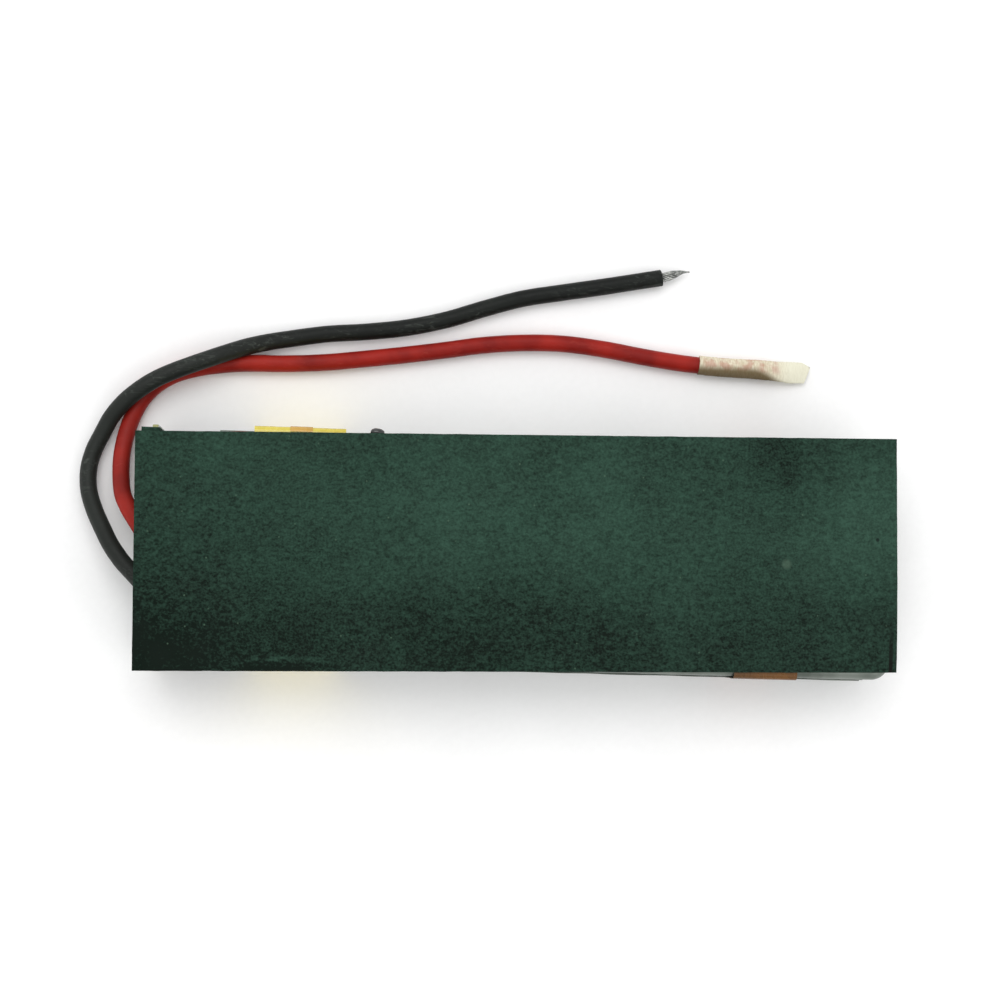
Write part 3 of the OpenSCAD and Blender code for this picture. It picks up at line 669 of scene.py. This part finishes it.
def over_bands(x):
    """From 0 to 1, how far a paper rises where it lies over a band."""
    return max(smoothstep(a - 0.9, a + 0.3, x) * (1 - smoothstep(b - 0.3, b + 0.9, x))
               for a, b in (YELLOW_X, AMBER_X))


def top_face(x, y):
    """Height of the top paper's upper face at a point of the sheet, before its turn."""
    rise = TOP_PAPER_Z + 0.15 * over_bands(x)
    rise = rise + 0.035 * wave(x / 16, y / 11, 3) + 0.012 * wave(x / 4, y / 4, 7)
    bent = smoothstep(-4, -19, y) if y < -4 else 0.0
    rise -= smoothstep(64.6, 65.6, x) * (0.12 + 0.5 * bent)
    return rise - 0.5 * smoothstep(62.5, 66, x) * smoothstep(16.5, 20.5, -y)


def bottom_face(x, y):
    """Height of the bottom paper's upper face."""
    return BOTTOM_PAPER_Z + 0.02 * wave(x / 14, y / 9, 11)


def paper_sheet(length, width, face, thick, seed, turn=0.0, shift_y=0.0):
    """A cut sheet: fine grid above and below, edges thinned by wear, and a slightly uneven cut."""
    step, lip = 0.6, 0.1
    xs = [-length / 2] + spread(-length / 2 + lip, length / 2 - lip, round(length / step)) + [length / 2]
    ys = [-width / 2] + spread(-width / 2 + lip, width / 2 - lip, round(width / step)) + [width / 2]
    across = len(ys)
    points, faces = [], []
    for side in (1, -1):
        for i, x in enumerate(xs):
            for j, y in enumerate(ys):
                edge = i in (0, len(xs) - 1) or j in (0, across - 1)
                out_x = (0.04 * wave(y / 3, seed) + 0.02 * wave(y * 2, seed)) * (i in (0, len(xs) - 1))
                out_y = (0.04 * wave(x / 3, seed + 5) + 0.02 * wave(x * 2, seed)) * (j in (0, across - 1))
                z = face(x, y) - (0 if side > 0 else thick) - side * (0.07 if edge else 0)
                points.append((x + out_x, y + out_y, z))
    half = len(xs) * across
    for i in range(len(xs) - 1):
        for j in range(across - 1):
            a = i * across + j
            faces.append((a, a + across, a + across + 1, a + 1))
            faces.append((half + a, half + a + 1, half + a + across + 1, half + a + across))
    rim = [i * across for i in range(len(xs))] + [(len(xs) - 1) * across + j for j in range(1, across)]
    rim += [i * across + across - 1 for i in range(len(xs) - 2, -1, -1)] + list(range(across - 2, 0, -1))
    faces += [(a, b, half + b, half + a) for a, b in zip(rim, rim[1:] + rim[:1])]
    spin = Matrix.Translation((0, shift_y, 0)) @ Matrix.Rotation(turn, 4, "Z")
    return [spin @ Vector(p) for p in points], faces


top_sheet = paper_sheet(PAPER_LEN, PAPER_WIDTH, top_face, TOP_PAPER_T, TOP_PAPER_SEED, PAPER_TURN,
                        PAPER_SHIFT_Y)
Shape(PAPER).add(top_sheet).piece("top_fish_paper", "green_paper", "top_paper", crease=60)
low, high = box("bottom_paper")
bottom_sheet = paper_sheet(high.x - low.x, high.y - low.y, bottom_face, BOTTOM_PAPER_T, BOTTOM_PAPER_SEED)
Shape(PAPER).add(bottom_sheet).piece("bottom_fish_paper", "green_paper", "bottom_paper", crease=60)


# ---- Cells ----

CUP_HALF_W = 19.65
CUP_CORNER_R = 3.0
LAMINATE_T = 0.15
CUP_X = (-53.0, 64.7)
TERRACE_X = -58.5
CELL_T = 8.2
SEAL_H = 4.0
EDGE_R = 1.5  # the round edge of a cup
TABS_Y = (-9, 9)
FOAM_Z = box("cell_foam_tape")[0].z
UPPER_Z = box("cell_foam_tape")[1].z
MID_Z = (FOAM_Z + UPPER_Z) / 2
UPPER = Matrix.Translation((0, 0, UPPER_Z))
LOWER = Matrix.Translation((0, 0, FOAM_Z)) @ Matrix.Rotation(math.pi, 4, "X")


def cup_skin(seed):
    """The drawn cup, from its foot up the wall and over the round edge, with creases at its corners."""
    plan = outline((CUP_X[0], -CUP_HALF_W), (CUP_X[1], CUP_HALF_W), CUP_CORNER_R, 1.2, 12)
    levels = [(h, 0.0) for h in (0.15, 0.6, 1.4, 2.4, 3.4, 4.4, 5.4, 6.2)]
    levels += [(CELL_T - EDGE_R + EDGE_R * math.sin(a), EDGE_R * (1 - math.cos(a)))
               for a in spread(0, math.pi / 2, 7)]
    levels += [(CELL_T, 2.2), (CELL_T, 3.2)]
    rings = []
    for h, inset in levels:
        ring = []
        for (x, y), way in plan:
            corner = min(abs(x - CUP_X[0]), abs(x - CUP_X[1])) < 4 and abs(y) > CUP_HALF_W - 4
            free = smoothstep(0.2, 2.5, h)
            crease = 0.03 * wave(x / 2.2, y / 2.2, h / 2 + seed) + 0.05 * wave(x / 9, y / 9, h / 5 + seed)
            if corner:
                crease += 0.08 * wave(x * 1.3, y * 1.3, h / 6 + seed) * (1 - 0.4 * free)
            crease *= free if not corner else max(free, 0.5)
            ring.append(Vector((x - way[0] * (inset - crease), y - way[1] * (inset - crease), h)))
        rings.append(ring)
    return loft(rings)


def fold_line(out, base, top, reach):
    """A seal's section: flat under the cup, round the fold, and up its wall. out is from the wall."""
    bend = 0.22
    line = [(-reach, base), (out - bend, base)]
    line += [(out - bend + bend * math.sin(a), base + bend * (1 - math.cos(a)))
             for a in spread(0.3, math.pi / 2, 4)]
    return line + [(out, h) for h in spread(base + bend + 0.3, top, 7)]


def seals(out, base, top, seed):
    """Folded seals along both sides and the plain end, a little wavy along their free edge."""
    parts = []
    for side in (-1, 1):
        sections = []
        for x in spread(CUP_X[0] + 1, 60.3, 130):
            free = wave(x / 7, side, seed)
            tip = 0.1 * wave(x / 3, side + 4, seed)
            sections.append([
                Vector((x, side * (CUP_HALF_W + w + 0.09 * (free + 0.6) * smoothstep(1.2, top, h)),
                        h + tip * smoothstep(top - 1, top, h)))
                for w, h in fold_line(out, base, top, 0.8)])
        parts.append(strip(sections, AXIS_X, 0.12))
    sections = []
    for y in spread(-CUP_HALF_W + CUP_CORNER_R, CUP_HALF_W - CUP_CORNER_R, 60):
        free = wave(y / 6, 8, seed)
        tip = 0.1 * wave(y / 3, 9, seed)
        sections.append([Vector((CUP_X[1] + w + 0.05 * free * smoothstep(1.2, top, h), y,
                                 h + tip * smoothstep(top, top + 1, h)))
                         for w, h in fold_line(out, base, top + 1, 0.8)])
    parts.append(strip(sections, AXIS_Y, 0.12))
    return parts


def terrace(seed):
    """The sealed terrace: it rises over each tab and its films, and lies on the cover between them."""
    sections = []
    for x in spread(TERRACE_X, CUP_X[0] + 0.4, 14):
        line = []
        for y in spread(-CUP_HALF_W + 0.1, CUP_HALF_W - 0.1, 90):
            over_tab = max(1 - smoothstep(5.2, 6.4, abs(y - tab)) for tab in TABS_Y)
            ripple = 0.02 * wave(x / 2, y / 2, seed)
            line.append(Vector((x, y, 0.24 + 0.29 * over_tab + ripple)))
        sections.append(line)
    return strip(sections, AXIS_X, 0.13)


def cover_plate():
    """The flat cover, with its corners cut off at the plain end."""
    wide, narrow = CUP_HALF_W + 2 * LAMINATE_T, CUP_HALF_W
    half = [(TERRACE_X, narrow), (CUP_X[0], narrow), (CUP_X[0] + 1, wide), (61.8, wide), (65.0, wide - 1.5)]
    edge = [(x, -y) for x, y in half] + half[::-1]
    return loft([[Vector((x, y, h)) for x, y in edge] for h in (0.01, 0.14)])


for name, place, seed in (("upper", UPPER, 1.3), ("lower", LOWER, 6.7)):
    cup = Shape(FOIL, SEAL).add(cup_skin(seed), 0, place)
    for part in seals(0.08, 0.225, SEAL_H + 0.12, seed):
        cup.add(part, 1, place)
    cup.add(terrace(seed), 1, place)
    cup.piece(name + "_pouch_cup", "pouch_foil", name + "_cup")
    cover = Shape(FOIL, SEAL).add(cover_plate(), 0, place)
    for part in seals(0.23, 0.075, SEAL_H - 0.05, seed):
        cover.add(part, 1, place)
    cover.piece(name + "_pouch_cover", "pouch_foil", name + "_cover")


# ---- Tape bands ----

BAND_T = 0.12
BAND_INSET = 0.15  # from a band's CAD box to its inner face
BAND_CORNER_R = 0.9


def band(node, x, lean, seed):
    """A wound tape: it follows the stack's edges, dips between the cells and leans a little."""
    low, high = box(node)
    plan = outline((low.y + BAND_INSET, low.z + BAND_INSET), (high.y - BAND_INSET, high.z - BAND_INSET),
                   BAND_CORNER_R, 0.9, 7)

    def point(column, p, way, out):
        y, z = p
        dip = 0.12 * math.exp(-((z - MID_Z) / 0.8) ** 2) * abs(way[0])
        ripple = 0.03 * wave(column / 3, y / 5 + seed, z / 3)
        away = out + ripple * (abs(way[0]) > 0.5) - dip
        return Vector((column + lean * (z - MID_Z), y + way[0] * away, z + way[1] * away))

    columns = spread(x[0], x[1], 16)
    rings = [[point(c + 0.05 * wave(i / 5, c, seed) * (c in (columns[0], columns[-1])), p, way, BAND_T)
              for i, (p, way) in enumerate(plan)] for c in columns]
    rings += [[point(c, p, way, 0.0) for p, way in plan] for c in columns[::-1]]
    return loft(rings, wrap=True)


yellow = Shape(YELLOW).add(band("yellow_band", YELLOW_X, 0.0, 3))
yellow.piece("yellow_tape_band", "yellow_tape", "yellow_band")
amber = Shape(AMBER).add(band("amber_band", AMBER_X, 0.045, 5))
amber.piece("amber_tape_band", "amber_tape", "amber_band")


# ---- Sensor ----

STACK_TOP = box("yellow_band")[1].z - BAND_INSET


def edge_place(x, angle, thick):
    """Centre of a thin round thing that rests on the upper cup's round edge, at an angle round it."""
    reach = EDGE_R + thick / 2
    return Vector((x, CUP_HALF_W - EDGE_R + reach * math.cos(math.radians(angle)),
                   STACK_TOP - EDGE_R + reach * math.sin(math.radians(angle))))


def round_wire(route, radius):
    return loft([circle(point, side, rise, radius, 10) for point, _, side, rise in
                 frames(smooth_line(route, 0.4))])


def turned(profile, place, sides, lumps=0.0):
    """A turned shape: profile gives (distance along, radius) pairs, and place puts its +Z axis."""
    rings = []
    for i, (along, radius) in enumerate(profile):
        ring = []
        for k in range(sides):
            a = 2 * math.pi * k / sides
            r = radius * (1 + lumps * wave(math.cos(a) * 1.2, math.sin(a) * 1.2, along))
            ring.append(place @ Vector((r * math.cos(a), r * math.sin(a), along)))
        rings.append(ring)
    return loft(rings)


bead_low, bead_high = box("sensor_bead")
bead_centre = (bead_low + bead_high) / 2
bead_half = (bead_high.x - bead_low.x) / 2
bead_place = Matrix.Translation(bead_centre) @ Matrix.Rotation(math.pi / 2, 4, "Y")
bead_profile = [(bead_half * math.sin(a), max(0.03, 0.7 * math.cos(a) ** 0.8 * (1 - 0.16 * math.sin(a))))
                for a in spread(-math.pi / 2, math.pi / 2, 19)]
Shape(EPOXY).add(turned(bead_profile, bead_place, 32, 0.1)).piece(
    "temperature_sensor_bead", "black_epoxy", "sensor_bead", crease=80)

board_low, board_high = box("board")
wires = Shape(ENAMEL)
for angle, start_y in ((60, 17.6), (42, 18.4)):
    route = [Vector((board_high.x + 0.01, start_y, 14.6)), Vector((board_high.x + 2, start_y, 14.9)),
             Vector((TERRACE_X + 2, start_y + 0.3, 15.9)), edge_place(CUP_X[0] + 4, angle, 0.4),
             edge_place(YELLOW_X[0] + 0.7, angle, 0.4), edge_place(YELLOW_X[1] + 0.25, angle, 0.4),
             edge_place(-27, (angle + 50) / 2 - 12, 0.7), bead_centre + Vector((-0.8, 0, 0))]
    wires.add(round_wire(route, 0.15))
wires.piece("sensor_wire_pair", "wire_enamel", "sensor_wires", crease=80)


# ---- Protection board ----

FACE_X, BACK_X = board_low.x, board_high.x


def on_board(y, z):
    """Puts a shape on the board's outer face: its X goes up, its Y along the board, its Z away from it."""
    return Matrix(((0, 0, -1, FACE_X), (0, 1, 0, y), (1, 0, 0, z), (0, 0, 0, 1)))


def trace(points, width, lift=0.035):
    """A flat copper track under the solder mask, as (y, z) points on the board's face."""
    line = [Vector((z, y, 0)) for y, z in points]
    rings = []
    for i, point in enumerate(line):
        along = line[min(i + 1, len(line) - 1)] - line[max(i - 1, 0)]
        side = AXIS_Z.cross(along).normalized() * (width / 2)
        rings.append([point - side, point - side * 0.9 + AXIS_Z * lift, point + side * 0.9 + AXIS_Z * lift,
                      point + side])
    return loft(rings)


def add_board():
    """The board: masked faces, a cut laminate edge, copper tracks, plated holes and test pads."""
    shape = Shape(MASK, LAMINATE, TRACE, TIN)
    plan = outline((board_low.y, board_low.z), (board_high.y, board_high.z), 0.5, 2.0, 4)
    lip = 0.06
    levels = [(FACE_X + 0.04, lip), (FACE_X + 0.04 + lip, 0.0), (BACK_X - lip, 0.0), (BACK_X, lip)]
    rings = [[Vector((x, p[0] - way[0] * inset, p[1] - way[1] * inset)) for p, way in plan]
             for x, inset in levels]
    points, faces = loft(rings)
    shape.add((points, faces[:-2]), 1).add((points, faces[-2:]), 0)
    # each track's points, then its width
    runs = (
        (((-18.6, 3.2), (-16.4, 3.2), (-15.2, 4.4), (-15.2, 7.4), (-14, 8.6)), 0.5),
        (((-18.4, 15.4), (-16.6, 15.4), (-15.9, 14.7), (-15.9, 11.8), (-14.3, 10.2)), 0.5),
        (((-13.5, 13.8), (-13.5, 12.6), (-12.4, 11.6)), 0.3),
        (((-11.2, 13.8), (-11.2, 12.9), (-8.8, 12.9), (-8.8, 10.4)), 0.3),
        (((-8.9, 14.2), (-7.4, 12.7), (-5.4, 12.7), (-5.4, 10.6)), 0.3),
        (((-6.6, 14.2), (-4.4, 12.4), (-2.6, 12.4), (-2.0, 11.7)), 0.3),
        (((-4.3, 14.2), (-2.4, 13.2), (0.6, 13.2)), 0.3), (((-2, 14.2), (-1, 14.0), (0.6, 14.4)), 0.3),
        (((-9.6, 6.0), (-9.6, 7.6)), 2.4), (((-5.6, 3.6), (-3.4, 3.6), (-2.4, 4.6), (-2.4, 6.6)), 1.2),
        (((-1.2, 3.9), (-1.2, 4.9), (0.2, 5.8), (2.6, 5.8), (4.4, 5.8)), 0.3),
        (((1.1, 4.0), (1.1, 4.8), (5.2, 4.8)), 0.3), (((3.4, 4.0), (4.6, 4.0), (5.2, 3.6)), 0.3),
        (((1.2, 9.2), (3.4, 9.2), (4.6, 8.0), (4.6, 5.6)), 1.6),
        (((1.2, 10.2), (3.4, 10.2), (4.6, 11.4), (4.6, 13.4)), 1.6),
        (((5.9, 9.0), (17.4, 9.0)), 1.9), (((18.9, 3.4), (18.9, 14.6)), 0.8),
        (((3.5, 14.2), (4.4, 15.2), (6.6, 15.9), (17.6, 15.9)), 0.3),
        (((-19.3, 7.4), (-19.3, 10.6)), 0.5), (((11.5, 2.6), (11.5, 7.6)), 0.4),
        (((11.5, 10.4), (11.5, 15.2)), 0.4),
    )
    for points, width in runs:
        shape.add(trace(points, width), 2, on_board(0, 0) @ Matrix.Translation((0, 0, -0.04)))
    holes = ((-16.2, 9.2), (-14.6, 6.2), (-6.9, 6.6), (-5.4, 11.4), (-5.0, 6.4), (3.2, 7.2), (3.2, 11.6),
             (6.8, 9.0), (8.6, 9.0), (10.4, 9.0), (12.6, 9.0), (14.4, 9.0), (16.2, 9.0), (-0.4, 6.9),
             (0.8, 12.3), (-18.6, 9.0), (18.9, 6.2), (18.9, 11.8), (-15.4, 15.8), (6.4, 2.2), (16.6, 2.2))
    for y, z in holes:
        ring = ((-0.04, 0.3), (0.015, 0.3), (0.02, 0.26), (0.02, 0.15), (-0.03, 0.13))
        shape.add(turned(ring, on_board(y, z), 16), 3)
    pads = ((-15.9, 2.6), (-13.6, 2.6), (-0.6, 15.6), (5.1, 2.0), (18.9, 15.9))
    for y, z in pads:
        pad = ((-0.04, 0.55), (0.03, 0.55), (0.07, 0.45), (0.1, 0.2), (0.105, 0.02))
        shape.add(turned(pad, on_board(y, z), 20), 3)
    shape.piece("protection_circuit_board", "board_green", "board", crease=30)


TRANSISTOR, CHIP = (3.9, 4.9, 1.5), (1.6, 2.9, 1.1)
TRANSISTOR_PLACES = [(y, MID_Z + dz) for y in (8.2, 14.8) for dz in (-3.9, 3.9)]
CHIP_PLACES = [(-17.6, MID_Z + dz) for dz in (-3.6, 3.6)]


def chips(name, node, size, places):
    """Moulded bodies with sloping sides, a parting line and a small round dimple by the first leg."""
    shape = Shape(MOULDED, RESISTIVE)
    for y, z in places:
        shape.add(moulded(size, 0.1, 0.12, 0.09, 0.1), 0, on_board(y, z))
        seam = moulded((size[0] + 0.03, size[1] + 0.03, size[2] / 2 + 0.06), size[2] / 2 - 0.02, 0.12, 0.02)
        shape.add(seam, 0, on_board(y, z))
        dimple = on_board(y, z) @ Matrix.Translation((size[0] / 2 - 0.55, -size[1] / 2 + 0.55, size[2]))
        shape.add(turned(((-0.02, 0.24), (0.006, 0.24), (0.008, 0.2), (0.003, 0.02)), dimple, 20), 1)
    shape.piece(name, "chip_black", node)


def legs():
    """Gull-wing legs, each with a fillet of solder at its foot."""
    shape = Shape(TIN, SOLDER)
    for size, per_side, pitch, foot, places in ((TRANSISTOR, 4, 1.27, 0.9, TRANSISTOR_PLACES),
                                                (CHIP, 3, 0.95, 0.6, CHIP_PLACES)):
        for y, z in places:
            for side in (-1, 1):
                for i in range(per_side):
                    at = (i - (per_side - 1) / 2) * pitch
                    root, rise = size[0] / 2 - 0.06, size[2] / 2
                    line = ((root, rise), (root + 0.16, rise), (root + 0.24, rise - 0.06),
                            (root + 0.3, 0.2), (root + 0.38, 0.12), (root + foot, 0.1))
                    sections = [[Vector((side * a, at + w, h)) for a, h in line] for w in (-0.2, 0.2)]
                    shape.add(strip(sections, AXIS_Y, 0.14), 0, on_board(y, z))
                    fillet = on_board(y, z) @ Matrix.Translation((side * (root + foot * 0.72), at, 0))
                    shape.add(moulded((foot * 0.9, 0.52, 0.11), -0.02, 0.12, 0.07), 1, fillet)
    shape.piece("chip_leads", "tinned_pad", "chip_legs")


def chip_parts(name, node, slot, size, rows, body, top):
    """Small two-ended parts: a ceramic body, tinned end caps, and solder drawn up each end."""
    shape = Shape(body, top, TIN, SOLDER)
    across, along, height = size
    cap = along * 0.2
    for first_y, pitch, count, z in rows:
        for i in range(count):
            tilt = Matrix.Rotation(0.03 * wave(i * 3.3, z), 4, "Z")
            place = on_board(first_y + i * pitch + 0.04 * wave(i * 1.9, z, 4), z) @ tilt
            shape.add(moulded((across * 0.94, along * 0.9, height - 0.02), 0.03, 0.05, 0.04), 0, place)
            lid = moulded((across * 0.9, along - 2 * cap, height), height - 0.05, 0.04, 0.015)
            shape.add(lid, 1, place)
            for side in (-1, 1):
                end = place @ Matrix.Translation((0, side * (along - cap) / 2, 0))
                shape.add(moulded((across, cap, height), 0.0, 0.05, 0.05), 2, end)
                toe = place @ Matrix.Translation((0, side * (along / 2 + 0.06), 0))
                shape.add(moulded((across * 1.1, 0.3, height * 0.5), -0.02, 0.1, height * 0.3), 3, toe)
    shape.piece(name, slot, node)


def shunt():
    """The wide current-sensing resistor."""
    shape = Shape(CERAMIC, RESISTIVE, TIN, SOLDER)
    place = on_board(-9.6, MID_Z - 5.4)
    shape.add(moulded((3.16, 6.2, 0.5), 0.04, 0.1, 0.05), 0, place)
    shape.add(moulded((3.0, 4.3, 0.6), 0.48, 0.2, 0.06), 1, place)
    for side in (-1, 1):
        end = place @ Matrix.Translation((0, side * 2.66, 0))
        shape.add(moulded((3.2, 0.98, 0.56), 0.0, 0.12, 0.06), 2, end)
        toe = place @ Matrix.Translation((0, side * 3.2, 0))
        shape.add(moulded((3.3, 0.42, 0.3), -0.02, 0.12, 0.2), 3, toe)
    shape.piece("current_shunt", "chip_black", "shunt_resistor")


LEAD_PAD_Z = 9.2
LEAD_PADS = ((-12, BLACK_ROOT), (-1.8, RED_ROOT))


def lead_joints():
    """The tinned pads, the leads' stripped strands, and a mound of solder that wets both."""
    pads, joints, wires = Shape(TIN), Shape(SOLDER), Shape(TIN)
    for y, root in LEAD_PADS:
        pads.add(moulded((4.6, 4.8, 0.09), -0.02, 0.6, 0.05), 0, on_board(y, LEAD_PAD_Z))
        strands(wires, root, lambda t: 0.72 - 0.1 * (1 - smoothstep(0, 0.25, t)), 0.16, 14, 8)
        rings = []
        for t in spread(1.0, 0.03, 14):
            lift = 1.82 * (0.55 * math.sqrt(1 - t * t) + 0.45 * (1 + math.cos(math.pi * t)) / 2)
            ring = []
            for k in range(36):
                a = 2 * math.pi * k / 36
                far = t * (1 + 0.07 * wave(math.cos(a) * 1.5, math.sin(a) * 1.5, y))
                ring.append(Vector((1.95 * far * math.cos(a), 2.3 * far * math.sin(a),
                                    0.07 + lift + 0.05 * wave(a, t * 3, y) * t)))
            rings.append(ring)
        joints.add(loft(rings), 0, on_board(y - 0.4, LEAD_PAD_Z))
    pads.piece("lead_solder_pads", "tinned_pad", "lead_pads")
    joints.piece("lead_solder_joints", "solder", "lead_solder", crease=70)
    wires.piece("stripped_lead_strands", "solder", "lead_strands", crease=70)


add_board()
chips("transistor_bodies", "switching_transistors", TRANSISTOR, TRANSISTOR_PLACES)
chips("protection_chip_bodies", "protection_chips", CHIP, CHIP_PLACES)
legs()
chip_parts("small_resistors", "chip_resistors", "chip_black", (0.8, 1.6, 0.45),
           ((-13.5, 2.3, 6, MID_Z + 6), (-1.2, 2.3, 3, MID_Z - 6)), CERAMIC, RESISTIVE)
chip_parts("small_capacitors", "chip_capacitors", "chip_white", (0.8, 1.6, 0.8),
           ((1.2, 2.3, 2, MID_Z + 6), (-7.2, 2.2, 2, MID_Z + 3.6)), TAN, TAN)
shunt()
lead_joints()


# ---- Nodes that keep their CAD shape ----

KEPT = {
    PAPER: ("board_cradle", "tab_insulator"),
    CATHODE: ("upper_cathodes", "lower_cathodes"),
    ANODE: ("upper_anodes", "lower_anodes"),
    SEPARATOR: ("upper_separator", "lower_separator"),
    GREEN_TAPE: ("upper_stack_tape", "lower_stack_tape"),
    ALUMINIUM: ("upper_positive_tab", "lower_positive_tab"),
    NICKEL: ("upper_negative_tab", "lower_negative_tab", "board_terminals"),
    TAB_FILM: ("upper_tab_film", "lower_tab_film"),
    FOAM: ("cell_foam_tape",),
    ORANGE: ("sensor_patch",),
}
for look, names in KEPT.items():
    for name in names:
        mesh = NODES[name].data
        mesh.materials.clear()
        mesh.materials.append(look)


# ---- Floor ----

FLOOR_REACH, FLOOR_Z = 6.0, -2e-5  # in metres
floor_mesh = bpy.data.meshes.new("floor")
floor_mesh.from_pydata([(x * FLOOR_REACH, y * FLOOR_REACH, FLOOR_Z)
                        for x, y in ((-1, -1), (1, -1), (1, 1), (-1, 1))], [], [(0, 1, 2, 3)])
floor_mesh.materials.append(FLOOR)
floor = bpy.data.objects.new("floor", floor_mesh)
bpy.context.scene.collection.objects.link(floor)
